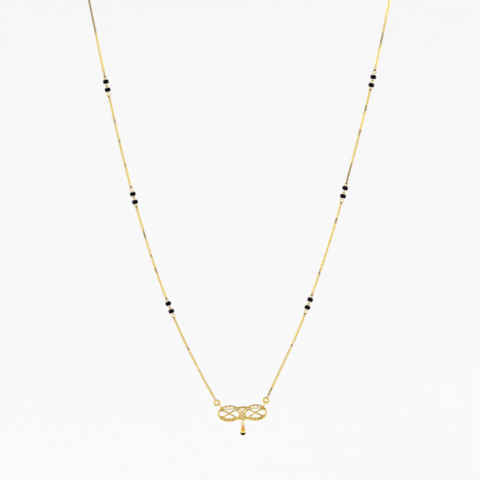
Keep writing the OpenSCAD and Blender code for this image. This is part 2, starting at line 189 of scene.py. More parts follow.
# Chain: fine box chain, about 940 square links bent from flat gold strip, each turned a quarter
# from the last and soldered shut, with a longer one at each end of a stretch. Its stretches hang
# in the end eyes of the bead pairs and end in small round rings at the jump rings and the clasp.
mm = 0.001
play = 0.03
strip_w = 0.44
strip_t = 0.18
box_w = 0.82
box_l = 0.876
end_link_l = 1
box_corner = 0.13
box_edge = 0.035
box_pitch = 0.516
ring_link = 1.5
link_wire = 0.22
clasp_link = 1.7
clasp_link_wire = 0.3
front_lean = math.radians(15)
front_y = -20
# How far out each strand is, from the neck's sides down, and then its way back round the neck
route_step = 20
left_route = [-54.4, -50.4, -46.1, -41.4, -36, -29.7, -21.9, -12, -1.2]
right_route = [54.5, 50.5, 45.8, 40.7, 35.3, 29, 21.7, 12.5, 2.5]
neck_route = [
    (55.8, -15, 9), (56.2, -6.5, 15.5), (55.2, 3.5, 19), (52, 13.5, 21), (46.5, 23, 21.5),
    (38.5, 31, 21.5), (28, 37, 21), (15, 41, 20.5),
]
nape = Vector((0, 42, 20))
# Where a strand's line is taken: above the top pair, and past a pair's and a jump ring's middle
side_downs = (24, 12, 0)
past_pair = 6
past_ring = 8
round_steps = 48
hook_r = 1.6
hook_wire = 0.8
# Bead pairs: how far down the front their middle is, and whether the upper pin has the large eye
left_pairs = [(32.9, False), (73.3, True), (112.7, False)]
right_pairs = [(31.2, True), (71.2, False), (111.3, False)]
pin_wire = 0.32
large_eye = 1.55
small_eye = 1.24
inner_eye = 1.04
pin_neck = 0.3
bead_l = 1.5
inner_eye_z = (inner_eye - 2 * pin_wire - play) / 2
bead_z = inner_eye_z + inner_eye / 2 + play + bead_l / 2
jump_ring = 2.5
jump_wire = 0.66
eyelet = (8.28, 3.43)
eyelet_d = 1.76
eyelet_wire = 0.5
left_ring_way = math.radians(138)
right_ring_way = math.radians(65)
pendant_x = 1.15
pendant_down = 150.75
pendant_turn = math.radians(2.2)


def smooth(values, t):
    """Value at t on a smooth line through values that are one step apart."""
    last = len(values) - 1
    i = max(0, min(last - 1, math.floor(t)))
    f = t - i
    p1, p2 = values[i], values[i + 1]
    p0 = values[i - 1] if i > 0 else 2 * p1 - p2
    p3 = values[i + 2] if i < last - 1 else 2 * p2 - p1
    return (
        p1 + f * (p2 - p0) / 2 + f * f * (2 * p0 - 5 * p1 + 4 * p2 - p3) / 2
        + f * f * f * (3 * (p1 - p2) + p3 - p0) / 2
    )


def front(x, down):
    """Point of the leaning front, x across it and down it from the neck, in millimetres."""
    return Vector((x, front_y - down * math.sin(front_lean), -down * math.cos(front_lean)))


def on_front(x, down, turn=0):
    """Place that hangs in the front: Z up the strand, X across it and Y behind it."""
    lean = Matrix.Rotation(-front_lean, 4, "X")
    return Matrix.Translation(front(x, down)) @ lean @ Matrix.Rotation(turn, 4, "Y")


def strand_x(route, down):
    """How far a strand is from the middle of the front."""
    return smooth(route, down / route_step)


def at_pair(route, pair):
    """Place of the middle of a bead pair."""
    down = pair[0]
    turn = math.atan((strand_x(route, down - 1) - strand_x(route, down + 1)) / 2)
    return on_front(strand_x(route, down), down, turn)


def eye_d(pair, upper):
    """Outside of a pair's outer eye, above or below."""
    return large_eye if pair[1] == upper else small_eye


def eye_z(pair, upper):
    """Middle of a pair's outer eye, above or below the middle of the pair."""
    gap = pin_neck if pair[1] == upper else play
    return bead_z + bead_l / 2 + gap + eye_d(pair, upper) / 2


def box_start(d, wire):
    """How far past the middle of a ring the box link starts whose strip lies in its hole."""
    return math.sqrt((d / 2 - wire) ** 2 - (strip_w / 2) ** 2) - strip_t - play


def held(d1, wire1, d2, wire2):
    """Distance between the middles of two rings that hang taut in each other."""
    return (d1 + d2) / 2 - wire1 - wire2 - play


def pendant_point(u, v):
    """Across the front and down it, from across and up the pendant."""
    return (
        pendant_x + u * math.cos(pendant_turn) - v * math.sin(pendant_turn),
        pendant_down - u * math.sin(pendant_turn) - v * math.cos(pendant_turn),
    )


def ring_place(side):
    """Middle of a jump ring, across the front and down it."""
    way = left_ring_way if side < 0 else right_ring_way
    reach = held(eyelet_d, eyelet_wire, jump_ring, jump_wire)
    return pendant_point(
        side * eyelet[0] + reach * math.cos(way), eyelet[1] + reach * math.sin(way)
    )


def add_ring(shape, d, wire, place, edge_on=False, cut=0, cut_way=0):
    """Adds a ring of round wire, flat to the front or edge on, closed or with a cut in it."""
    round_wire = bmesh.ops.create_circle(
        shape, segments=16, radius=wire / 2,
        matrix=Matrix.Translation(((d - wire) / 2, 0, 0)) @ Matrix.Rotation(math.pi / 2, 4, "X"),
    )["verts"]
    edges = list({edge for vert in round_wire for edge in vert.link_edges})
    gap = cut / ((d - wire) / 2)
    before = set(shape.verts) - set(round_wire)
    bmesh.ops.spin(
        shape, geom=round_wire + edges, cent=(0, 0, 0), axis=(0, 0, 1),
        angle=2 * math.pi - gap, steps=round_steps, use_merge=not cut,
    )
    made = [vert for vert in shape.verts if vert not in before]
    if cut:
        rims = {edge for vert in made for edge in vert.link_edges if edge.is_boundary}
        bmesh.ops.holes_fill(shape, edges=list(rims), sides=0)
    stand = Matrix.Rotation(math.pi / 2, 4, "X") @ Matrix.Rotation(cut_way + gap / 2, 4, "Z")
    side_on = Matrix.Rotation(math.pi / 2, 4, "Z") if edge_on else Matrix()
    bmesh.ops.transform(shape, matrix=place @ side_on @ stand, verts=made)


def finish_piece(shape, name, materials, node, body="necklace", crease=40):
    """Makes a piece in metres that stands for a solid of the frame."""
    bmesh.ops.recalc_face_normals(shape, faces=shape.faces)
    bmesh.ops.scale(shape, vec=(mm, mm, mm), verts=shape.verts)
    mesh = bpy.data.meshes.new(name)
    shape.to_mesh(mesh)
    shape.free()
    mesh.shade_smooth()
    mesh.set_sharp_from_angle(angle=math.radians(crease))
    for material in materials:
        mesh.materials.append(material)
    piece = bpy.data.objects.new(name, mesh)
    bpy.context.scene.collection.objects.link(piece)
    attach(piece, body)
    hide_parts(node)


# Rolled and soldered 22 carat strip: soft mirror with a fine drawn grain, and each link, being
# burnished by its neighbours, a shade lighter or deeper than the next. The grain, a few
# hundredths of a millimetre in the real strip, is drawn coarser so that it shows
strip_gold, tree = new_material("burnished_chain_gold")
coordinates = add_node(tree, "ShaderNodeTexCoord", {})
tone = add_node(tree, "ShaderNodeTexNoise", {
    "Vector": coordinates.outputs["Object"], "Scale": 1 / (1.6 * mm), "Detail": 2,
})
colour = add_node(tree, "ShaderNodeMix", {
    "Factor": tone.outputs["Fac"], "A": linear("#EED26C"), "B": linear("#F8EEA6"),
}, data_type="RGBA")
rub = add_node(tree, "ShaderNodeTexNoise", {
    "Vector": coordinates.outputs["Object"], "Scale": 1 / (0.25 * mm), "Detail": 3,
})
roughness = add_node(tree, "ShaderNodeMapRange", {
    "Value": rub.outputs["Fac"], "From Min": 0.3, "From Max": 0.7, "To Min": 0.06, "To Max": 0.14,
})
grain = add_node(tree, "ShaderNodeBump", {
    "Height": rub.outputs["Fac"], "Strength": 0.25, "Distance": 0.01 * mm,
})
shader = add_node(tree, "ShaderNodeBsdfPrincipled", {
    "Base Color": colour.outputs["Result"], "Metallic": 1,
    "Roughness": roughness.outputs["Result"], "Normal": grain.outputs["Normal"],
})
add_node(tree, "ShaderNodeOutputMaterial", {"Surface": shader.outputs["BSDF"]})

# The strip's cut edges: the same gold, left satin, with the cut's fine marks drawn coarser, and
# painted a deeper, darker colour than the strip's faces as shade
shaded_edge_gold, tree = new_material("satin_strip_edge_gold_painted_shade")
coordinates = add_node(tree, "ShaderNodeTexCoord", {})
tone = add_node(tree, "ShaderNodeTexNoise", {
    "Vector": coordinates.outputs["Object"], "Scale": 1 / (1.1 * mm), "Detail": 3,
})
colour = add_node(tree, "ShaderNodeMix", {
    "Factor": tone.outputs["Fac"], "A": linear("#E2B450"), "B": linear("#F2D880"),
}, data_type="RGBA")
scratches = add_node(tree, "ShaderNodeTexNoise", {
    "Vector": coordinates.outputs["Object"], "Scale": 1 / (0.12 * mm), "Detail": 2,
})
roughness = add_node(tree, "ShaderNodeMapRange", {
    "Value": scratches.outputs["Fac"], "From Min": 0.3, "From Max": 0.7,
    "To Min": 0.4, "To Max": 0.55,
})
grain = add_node(tree, "ShaderNodeBump", {
    "Height": scratches.outputs["Fac"], "Strength": 0.3, "Distance": 0.01 * mm,
})
shader = add_node(tree, "ShaderNodeBsdfPrincipled", {
    "Base Color": colour.outputs["Result"], "Metallic": 1,
    "Roughness": roughness.outputs["Result"], "Normal": grain.outputs["Normal"],
})
add_node(tree, "ShaderNodeOutputMaterial", {"Surface": shader.outputs["BSDF"]})
chain_golds = [strip_gold, shaded_edge_gold]

# One link: a square of strip with rounded corners and eased outer edges, its hole facing along Y
shape = bmesh.new()
bmesh.ops.create_circle(shape, cap_ends=True, segments=4, radius=math.sqrt(0.5))
bmesh.ops.rotate(shape, matrix=Matrix.Rotation(math.pi / 4, 3, "Z"), verts=shape.verts)
bmesh.ops.scale(shape, vec=(box_w, box_l, 1), verts=shape.verts)
bmesh.ops.bevel(
    shape, geom=shape.verts[:], offset=box_corner, segments=2, profile=0.5, affect="VERTICES",
    material=-1
)
bmesh.ops.inset_individual(shape, faces=shape.faces[:], thickness=strip_t, use_even_offset=True)
shape.faces.ensure_lookup_table()
hole = min(shape.faces, key=lambda face: face.calc_center_median().length)
bmesh.ops.delete(shape, geom=[hole], context="FACES_ONLY")
bmesh.ops.solidify(shape, geom=shape.faces[:], thickness=strip_w)
middle = sum(vert.co.z for vert in shape.verts) / len(shape.verts)
bmesh.ops.translate(shape, vec=(0, 0, -middle), verts=shape.verts)
bmesh.ops.rotate(shape, matrix=Matrix.Rotation(math.pi / 2, 3, "X"), verts=shape.verts)
tiny = 0.001
outer = {
    vert for vert in shape.verts
    if abs(vert.co.x) > box_w / 2 - tiny or abs(vert.co.z) > box_l / 2 - tiny
}
rims = [
    edge for edge in shape.edges
    if set(edge.verts) <= outer and abs(edge.verts[0].co.y - edge.verts[1].co.y) < tiny
]
bmesh.ops.bevel(
    shape, geom=rims, offset=box_edge, segments=1, profile=0.5, affect="EDGES", material=-1
)
bmesh.ops.recalc_face_normals(shape, faces=shape.faces)
# The cut edges take the second gold, whose darker colour is painted shade
for face in shape.faces:
    face.material_index = 1 if abs(face.normal.y) > 0.9 else 0
link_mesh = bpy.data.meshes.new("box_link")
shape.to_mesh(link_mesh)
shape.free()


def add_links(shape, line, first, last, turns):
    """Adds box links along a line. The holes of its end links face along first and last.

    Between its ends the chain is turned by the angles in turns, evenly spread along it."""
    lengths = [0]
    for a, b in zip(line, line[1:]):
        lengths.append(lengths[-1] + (b - a).length)

    def point(way):
        i = max(i for i in range(len(line) - 1) if lengths[i] <= way or i == 0)
        return line[i].lerp(line[i + 1], (way - lengths[i]) / (lengths[i + 1] - lengths[i]))

    extra = end_link_l - box_l
    reach = lengths[-1] - box_l - 2 * extra
    least = round(reach / box_pitch)
    for steps in (least, least + 1):
        places = []
        facing = first
        for i in range(steps + 1):
            way = extra + box_l / 2 + reach * i / steps
            along = (point(way + box_l / 2) - point(way - box_l / 2)).normalized()
            facing = (facing - along * facing.dot(along)).normalized()
            places.append((point(way), along, facing))
        off = math.atan2(facing.cross(last).dot(along), facing.dot(last)) - steps * math.pi / 2
        twist = (off + math.pi / 2) % math.pi - math.pi / 2
        if abs(twist) <= math.pi / 4 + tiny:
            break
    for i, (place, along, facing) in enumerate(places):
        share = i / steps
        turn = i * math.pi / 2 + twist * share
        turn += math.radians(smooth([0] + turns + [0], share * (len(turns) + 1)))
        hole_way = Matrix.Rotation(turn, 3, along) @ facing
        turned = Matrix((hole_way.cross(along), hole_way, along)).transposed().to_4x4()
        link = link_mesh.copy()
        for vert in link.vertices:
            if i == 0 and vert.co.z < 0:
                vert.co.z -= extra
            if i == steps and vert.co.z > 0:
                vert.co.z += extra
        link.transform(Matrix.Translation(place) @ turned)
        shape.from_mesh(link)
        bpy.data.meshes.remove(link)


def pair_end(route, pair, upper):
    """Start of the chain beyond a bead pair, and the end of its first link."""
    place, way = at_pair(route, pair), 1 if upper else -1
    start = eye_z(pair, upper) + box_start(eye_d(pair, upper), pin_wire)
    return [place @ Vector((0, 0, way * z)) for z in (start, start + end_link_l)]


def across_pair(route, pair):
    """Direction across a bead pair, along which the holes of its end links face."""
    return at_pair(route, pair).to_3x3().col[0].copy()


def down_front(route, from_down, to_down):
    """Points of a strand down the front, a millimetre apart."""
    steps = round(to_down - from_down)
    downs = [from_down + (to_down - from_down) * i / steps for i in range(steps + 1)]
    return [front(strand_x(route, down), down) for down in downs]


# Turns of the links about the chain's own line, in degrees. A link turned to side_turn looks bright,
# and one turned less than dark_turn holds a flat side to the front and looks dark. So down the
# front a stretch keeps to side_turn, and crosses to the other side where the photo's chain is dark
side_turn = 26
dark_turn = 9
front_steps = 29
quick_start = [26, 28]


def front_turns(start, stop, dark, held=()):
    """Turns of a stretch between two distances down the front, from its pair down.

    Dark places are given by their middle and length, held ones by their two ends and their turn."""
    turns = []
    for i in range(1, front_steps + 1):
        down = start + (stop - start) * i / (front_steps + 1)
        turn = side = side_turn
        for middle, length in dark:
            half = length / 2 * side_turn / dark_turn
            if down >= middle + half:
                turn = side = -side
            elif down > middle - half:
                turn = side * (middle - down) / half
                break
        for held_from, held_to, held_turn in held:
            if held_from <= down <= held_to:
                turn = math.copysign(held_turn, turn)
        turns.append(round(turn))
    return turns


def back_turns(stops):
    """Turns of a stretch from its top pair up and round the neck, with a quick turn at its start."""
    turns = []
    for turn, following in zip(stops, stops[1:] + [0]):
        turns += [turn, round((turn + following) / 2)]
    return quick_start + turns[1:]


left_turns = {
    "back": back_turns([
        20, 28, 6, 0, 0, 10, 30, 45, 30, 10, 0, 20, 40, 60, 40, 20, 0, 10, 20, 10, 0, 0
    ]),
    "upper": front_turns(36.92, 69.5, [(45.92, 1.44), (52.85, 1.26), (61.51, 0.65)]),
    "lower": front_turns(76.52, 110, [(86.42, 2.16), (94.56, 0.65), (99.58, 1.26)]),
    "pendant": front_turns(116.3, 144.9, [(127.1, 1.44), (134, 0.65)], [(137.4, 141, 14)]),
}
right_turns = {
    "back": back_turns([
        24, 2, 16, 28, 20, 0, 10, 30, 50, 30, 0, -20, 0, 20, 40, 20, 0, 10, 20, 10, 0, 0
    ]),
    "upper": front_turns(34.22, 68.24, [(40.79, 1.62), (49.63, 1.22)], [(61.4, 67.2, 9)]),
    "lower": front_turns(74.9, 108.92, [(81.49, 1.44), (100.75, 1.44)]),
    "pendant": front_turns(114.68, 144.56, [(126.06, 1.15), (142.45, 1.33)]),
}
for side, route, pairs, word, turns in (
    (-1, left_route, left_pairs, "left", left_turns),
    (1, right_route, right_pairs, "right", right_turns),
):
    # Round the neck, from the top pair to the clasp
    link_x = 2 * hook_r - hook_wire / 2 - play + clasp_link / 2 - clasp_link_wire
    end = nape + Vector((link_x + box_start(clasp_link, clasp_link_wire), 0, 0))
    stops = [front(side * strand_x(route, down), down) for down in side_downs]
    stops += [Vector(stop) for stop in neck_route] + [end]
    line = pair_end(route, pairs[0], True)
    per_stop = 8
    for i in range(per_stop * (len(stops) - 1) + 1):
        stop = smooth(stops, i / per_stop)
        line.append(Vector((side * stop.x, stop.y, stop.z)))
    shape = bmesh.new()
    add_links(shape, line, across_pair(route, pairs[0]), Vector((0, 1, 0)), turns["back"])
    clasp_place = Matrix.Translation(nape + Vector((side * link_x, 0, 0)))
    add_ring(
        shape, clasp_link, clasp_link_wire, clasp_place @ Matrix.Rotation(math.pi / 2, 4, "X")
    )
    finish_piece(shape, f"neck_chain_{word}", chain_golds, f"chain_{word}_back", crease=20)

    # Between the pairs
    for stretch, pair, beyond in (("upper", pairs[0], pairs[1]), ("lower", pairs[1], pairs[2])):
        start = pair_end(route, pair, False)
        stop = pair_end(route, beyond, True)[::-1]
        line = start + down_front(route, pair[0] + past_pair, beyond[0] - past_pair) + stop
        shape = bmesh.new()
        add_links(
            shape, line, across_pair(route, pair), across_pair(route, beyond), turns[stretch]
        )
        finish_piece(
            shape, f"front_chain_{word}_{stretch}", chain_golds, f"chain_{word}_{stretch}",
            crease=20
        )

    # From the lowest pair to the jump ring
    x, down = ring_place(side)
    turn = math.atan((strand_x(route, down - past_ring) - x) / past_ring)
    ring_hang = on_front(x, down, turn)
    reach = held(jump_ring, jump_wire, ring_link, link_wire)
    tip = reach + box_start(ring_link, link_wire)
    stop = [ring_hang @ Vector((0, 0, z)) for z in (tip + end_link_l, tip)]
    line = pair_end(route, pairs[2], False)
    line += down_front(route, pairs[2][0] + past_pair, down - past_ring) + stop
    shape = bmesh.new()
    behind = ring_hang.to_3x3().col[1].copy()
    add_links(shape, line, across_pair(route, pairs[2]), behind, turns["pendant"])
    add_ring(
        shape, ring_link, link_wire, ring_hang @ Matrix.Translation((0, 0, reach)), edge_on=True
    )
    finish_piece(shape, f"pendant_chain_{word}", chain_golds, f"chain_{word}_pendant", crease=20)
bpy.data.meshes.remove(link_mesh)

# Eye pins: round gold wire through each bead, bent into an eye at both ends. The eyes are tear
# shaped, with the wire's tip closed against its own neck. Two pins hook together between the
# beads of a pair, and the chain's end link hooks into the outer eye.
outer_neck = 0.1
inner_neck = 0.02
neck_bend = 0.16
tip_gap = 1.04  # from the middle of the tip to that of the neck, in wires


def add_wire(shape, points, d, place, sides=6):
    """Adds round wire along points."""
    curve = bpy.data.curves.new("wire", "CURVE")
    curve.dimensions = "3D"
    curve.bevel_depth = d / 2
    curve.bevel_resolution = sides // 2
    curve.use_fill_caps = True
    spline = curve.splines.new("POLY")
    spline.points.add(len(points) - 1)
    for point, co in zip(spline.points, points):
        point.co = (*co, 1)
    holder = bpy.data.objects.new("wire", curve)
    mesh = bpy.data.meshes.new_from_object(holder)
    mesh.transform(place)
    count = len(shape.verts)
    shape.from_mesh(mesh)
    bmesh.ops.remove_doubles(shape, verts=shape.verts[count:], dist=d / 1000)
    bpy.data.objects.remove(holder)
    bpy.data.curves.remove(curve)
    bpy.data.meshes.remove(mesh)


def eye_path(neck_z, middle_z, d, wire):
    """Points of a tear-shaped eye across X, from its neck on the axis round to the wire's tip."""
    r = (d - wire) / 2
    neck = middle_z - neck_z
    half = math.asin(min(1, r / neck))
    leg = math.sqrt(neck * neck - r * r)
    points = []
    for i in range(5):
        t = i / 4
        into = Vector((0, 0, neck_z - neck_bend * (1 - t) ** 2))
        points.append(into + neck_bend * t * t * Vector((math.sin(half), 0, math.cos(half))))
    arc_from = -half
    steps = 28
    for i in range(steps + 1):
        a = arc_from + (math.pi + 2 * half) * i / steps
        points.append(Vector((r * math.cos(a), 0, middle_z + r * math.sin(a))))
    left = max(0, leg - wire * tip_gap / (2 * math.sin(half)))
    points.append(points[-1] + left * Vector((math.sin(half), 0, -math.cos(half))))
    return points


# Hand-bent and tumbled 22 carat wire: bright and even, with soft spots and small nicks, which are
# drawn coarser than the real ones so that they show
wire_gold, tree = new_material("tumbled_wire_gold")
coordinates = add_node(tree, "ShaderNodeTexCoord", {})
tone = add_node(tree, "ShaderNodeTexNoise", {
    "Vector": coordinates.outputs["Object"], "Scale": 1 / (1.2 * mm), "Detail": 3,
})
colour = add_node(tree, "ShaderNodeMix", {
    "Factor": tone.outputs["Fac"], "A": linear("#F4C852"), "B": linear("#FFEC88"),
}, data_type="RGBA")
nicks = add_node(tree, "ShaderNodeTexNoise", {
    "Vector": coordinates.outputs["Object"], "Scale": 1 / (0.3 * mm), "Detail": 4,
    "Roughness": 0.6,
})
roughness = add_node(tree, "ShaderNodeMapRange", {
    "Value": nicks.outputs["Fac"], "From Min": 0.3, "From Max": 0.7, "To Min": 0.1, "To Max": 0.24,
})
dents = add_node(tree, "ShaderNodeBump", {
    "Height": nicks.outputs["Fac"], "Strength": 0.2, "Distance": 0.02 * mm,
})
shader = add_node(tree, "ShaderNodeBsdfPrincipled", {
    "Base Color": colour.outputs["Result"], "Metallic": 1,
    "Roughness": roughness.outputs["Result"], "Normal": dents.outputs["Normal"],
})
add_node(tree, "ShaderNodeOutputMaterial", {"Surface": shader.outputs["BSDF"]})


def each_bead():
    """Every bead's pair, the middle of that pair, whether it is the upper one, and its words."""
    for route, pairs, word in (
        (left_route, left_pairs, "left"), (right_route, right_pairs, "right"),
    ):
        for pair, pair_word in zip(pairs, ("top", "middle", "low")):
            for upper, end_word in ((True, "upper"), (False, "lower")):
                yield pair, at_pair(route, pair), upper, f"{word}_{pair_word}_{end_word}"


for pair, place, upper, words in each_bead():
    outer_d, outer_z = eye_d(pair, upper), eye_z(pair, upper)
    outer_path = eye_path(outer_z - outer_d / 2 - outer_neck, outer_z, outer_d, pin_wire)
    inner_path = eye_path(
        inner_eye_z - inner_eye / 2 - inner_neck, inner_eye_z, inner_eye, pin_wire
    )
    edge_on = outer_d == small_eye
    turn_eye = Matrix.Rotation(math.pi / 2 if edge_on else math.pi, 4, "Z")
    flip = Matrix.Translation((0, 0, 2 * inner_eye_z)) @ Matrix.Rotation(math.pi, 4, "X")
    inner_path = [turn_eye @ flip @ point for point in inner_path]
    if not upper:
        place = place @ Matrix.Rotation(math.pi, 4, "Y")
    shape = bmesh.new()
    add_wire(shape, inner_path[::-1] + outer_path, pin_wire, place)
    finish_piece(shape, f"eye_pin_{words}", [wire_gold], f"pin_{words}")

# Beads: small drawn-glass beads, near black and fire polished, so that their edges are round and
# their faces not quite even. They are strung loosely on the eye pins, and each tips its own way.
bead_d = 2.1
bead_bore = 0.44
bead_edge = 0.46
bore_edge = 0.06
bead_tip = math.radians(2.5)
tip_step = 2.4

# Fire-polished black glass: a deep gloss with soft ripples, and a little haze from wear
bead_glass, tree = new_material("fire_polished_black_glass")
coordinates = add_node(tree, "ShaderNodeTexCoord", {})
haze = add_node(tree, "ShaderNodeTexNoise", {
    "Vector": coordinates.outputs["Object"], "Scale": 1 / (0.5 * mm), "Detail": 4,
})
colour = add_node(tree, "ShaderNodeMix", {
    "Factor": haze.outputs["Fac"], "A": linear("#030303"), "B": linear("#0B0A0D"),
}, data_type="RGBA")
roughness = add_node(tree, "ShaderNodeMapRange", {
    "Value": haze.outputs["Fac"], "From Min": 0.35, "From Max": 0.7,
    "To Min": 0.08, "To Max": 0.22,
})
ripple = add_node(tree, "ShaderNodeTexNoise", {
    "Vector": coordinates.outputs["Object"], "Scale": 1 / (0.9 * mm), "Detail": 1,
})
waves = add_node(tree, "ShaderNodeBump", {
    "Height": ripple.outputs["Fac"], "Strength": 0.3, "Distance": 0.08 * mm,
})
shader = add_node(tree, "ShaderNodeBsdfPrincipled", {
    "Base Color": colour.outputs["Result"], "IOR": 1.5, "Specular IOR Level": 0.06,
    "Roughness": roughness.outputs["Result"], "Normal": waves.outputs["Normal"],
})
add_node(tree, "ShaderNodeOutputMaterial", {"Surface": shader.outputs["BSDF"]})

wall = (bead_d - bead_bore) / 2
middle = (bead_d + bead_bore) / 4
for number, (pair, place, upper, words) in enumerate(each_bead(), 1):
    shape = bmesh.new()
    bmesh.ops.create_circle(shape, cap_ends=True, segments=4, radius=math.sqrt(0.5))
    bmesh.ops.rotate(shape, matrix=Matrix.Rotation(math.pi / 4, 3, "Z"), verts=shape.verts)
    bmesh.ops.scale(shape, vec=(wall, bead_l, 1), verts=shape.verts)
    bmesh.ops.translate(shape, vec=(middle, 0, 0), verts=shape.verts)
    outer = [vert for vert in shape.verts if vert.co.x > middle]
    inner = [vert for vert in shape.verts if vert.co.x < middle]
    for corners, edge, segments in ((outer, bead_edge, 8), (inner, bore_edge, 2)):
        bmesh.ops.bevel(
            shape, geom=corners, offset=edge, segments=segments, profile=0.5, affect="VERTICES",
            material=-1
        )
    bmesh.ops.delete(shape, geom=shape.faces[:], context="FACES_ONLY")
    bmesh.ops.rotate(shape, matrix=Matrix.Rotation(math.pi / 2, 3, "X"), verts=shape.verts)
    bmesh.ops.spin(
        shape, geom=shape.verts[:] + shape.edges[:], cent=(0, 0, 0), axis=(0, 0, 1),
        angle=2 * math.pi, steps=round_steps, use_merge=True,
    )
    tip_way = tip_step * number
    tipped = Matrix.Rotation(bead_tip, 4, (math.cos(tip_way), math.sin(tip_way), 0))
    seat = Matrix.Translation((0, 0, bead_z if upper else -bead_z))
    bmesh.ops.transform(shape, matrix=place @ seat @ tipped, verts=shape.verts)
    finish_piece(shape, f"glass_bead_{words}", [bead_glass], f"bead_{words}")

# Jump rings: round gold wire wound, cut and closed by hand, so that a hairline shows where the
# ends meet. Each joins an eyelet of the pendant to the end ring of its chain.
cut = 0.04
for side, word, cut_way in ((-1, "left", 200), (1, "right", 20)):
    shape = bmesh.new()
    add_ring(
        shape, jump_ring, jump_wire, on_front(*ring_place(side)), cut=cut,
        cut_way=math.radians(cut_way)
    )
    finish_piece(shape, f"pendant_jump_ring_{word}", [wire_gold], f"jump_ring_{word}")

# Pendant: cast and pierced plate, soldered from rounded strands. Two lobes lie side by side, with
# strands that loop at their ends, cross over and under in them and weave through the middle. The
# tops of the lobes are pierced with slanted ribs, their feet are fluted, and all is bright cut.
lobe_x = 4.7
lobe_a = 4.25
lobe_b = 3
strand_w = 0.6
rib_w = 0.34
pendant_t = 1.1
end_loop_h = 1.14
arch_w = 0.84
petal_w = 0.34
ribs = 4
rib_step = 1.25
rib_slant = 0.18
flutes = 6
flute_w = 0.42
flute_inset = 0.2
loop_x = 0.1
loop_d = 1.7
loop_wire = 0.45
loop_down = 3.15
eyelet_foot = (7.5, 1.8)
stem_d = 0.6
back = -pendant_t / 2
voxel = 0.062
# Tops of the strands, above the middle of the plate
over, under, plain_top = 0.54, 0.16, 0.4
outline_top, petal_top, hollow_top, plate_top = 0.35, 0.18, -0.1, -0.1


def add_strand(shape, points, w, bottom=back, mirrored=False):
    """Adds a strand with a rounded top and a flat back. Its points are across, up, and its top."""
    thick = max(top for u, v, top in points) - bottom
    line = [Vector((-u if mirrored else u, v, top - thick / 2)) for u, v, top in points]
    curve = bpy.data.curves.new("strand", "CURVE")
    curve.dimensions = "3D"
    curve.twist_mode = "Z_UP"
    curve.bevel_depth = w / 2
    curve.bevel_resolution = 2
    curve.extrude = max(0, (thick - w) / 2)
    curve.use_fill_caps = True
    spline = curve.splines.new("POLY")
    spline.points.add(len(line) - 1)
    for point, co in zip(spline.points, line):
        point.co = (*co, 1)
    holder = bpy.data.objects.new("strand", curve)
    mesh = bpy.data.meshes.new_from_object(holder)
    for vert in mesh.vertices:
        vert.co.z = max(vert.co.z, bottom)
    shape.from_mesh(mesh)
    bpy.data.objects.remove(holder)
    bpy.data.curves.remove(curve)
    bpy.data.meshes.remove(mesh)


def smoothed(points, per_span=4):
    """Points of a smooth line through a few points."""
    stops = [Vector(point) for point in points]
    return [tuple(smooth(stops, i / per_span)) for i in range(per_span * (len(stops) - 1) + 1)]


def lobe_arc(start, stop, inset, drop=0, top=outline_top, steps=20):
    """Points that follow a lobe's outline between two angles, inset from it."""
    points = []
    for i in range(steps + 1):
        a = math.radians(start + (stop - start) * i / steps)
        points.append((
            lobe_x + (lobe_a - inset) * math.cos(a), (lobe_b - inset - drop) * math.sin(a), top
        ))
    return points


def end_loop(up, low, high):
    """Points of half a lobe's end loop, from its tip in to near the crossing, rising to it."""
    points = []
    for a in range(92, 1, -6):
        rise = max(0, 1 - a / 50)
        turn = math.radians(a)
        points.append((
            lobe_x + (lobe_a - strand_w / 2) * math.sin(turn),
            up * end_loop_h * math.sin(2 * turn), low + (high - low) * rise
        ))
    return points


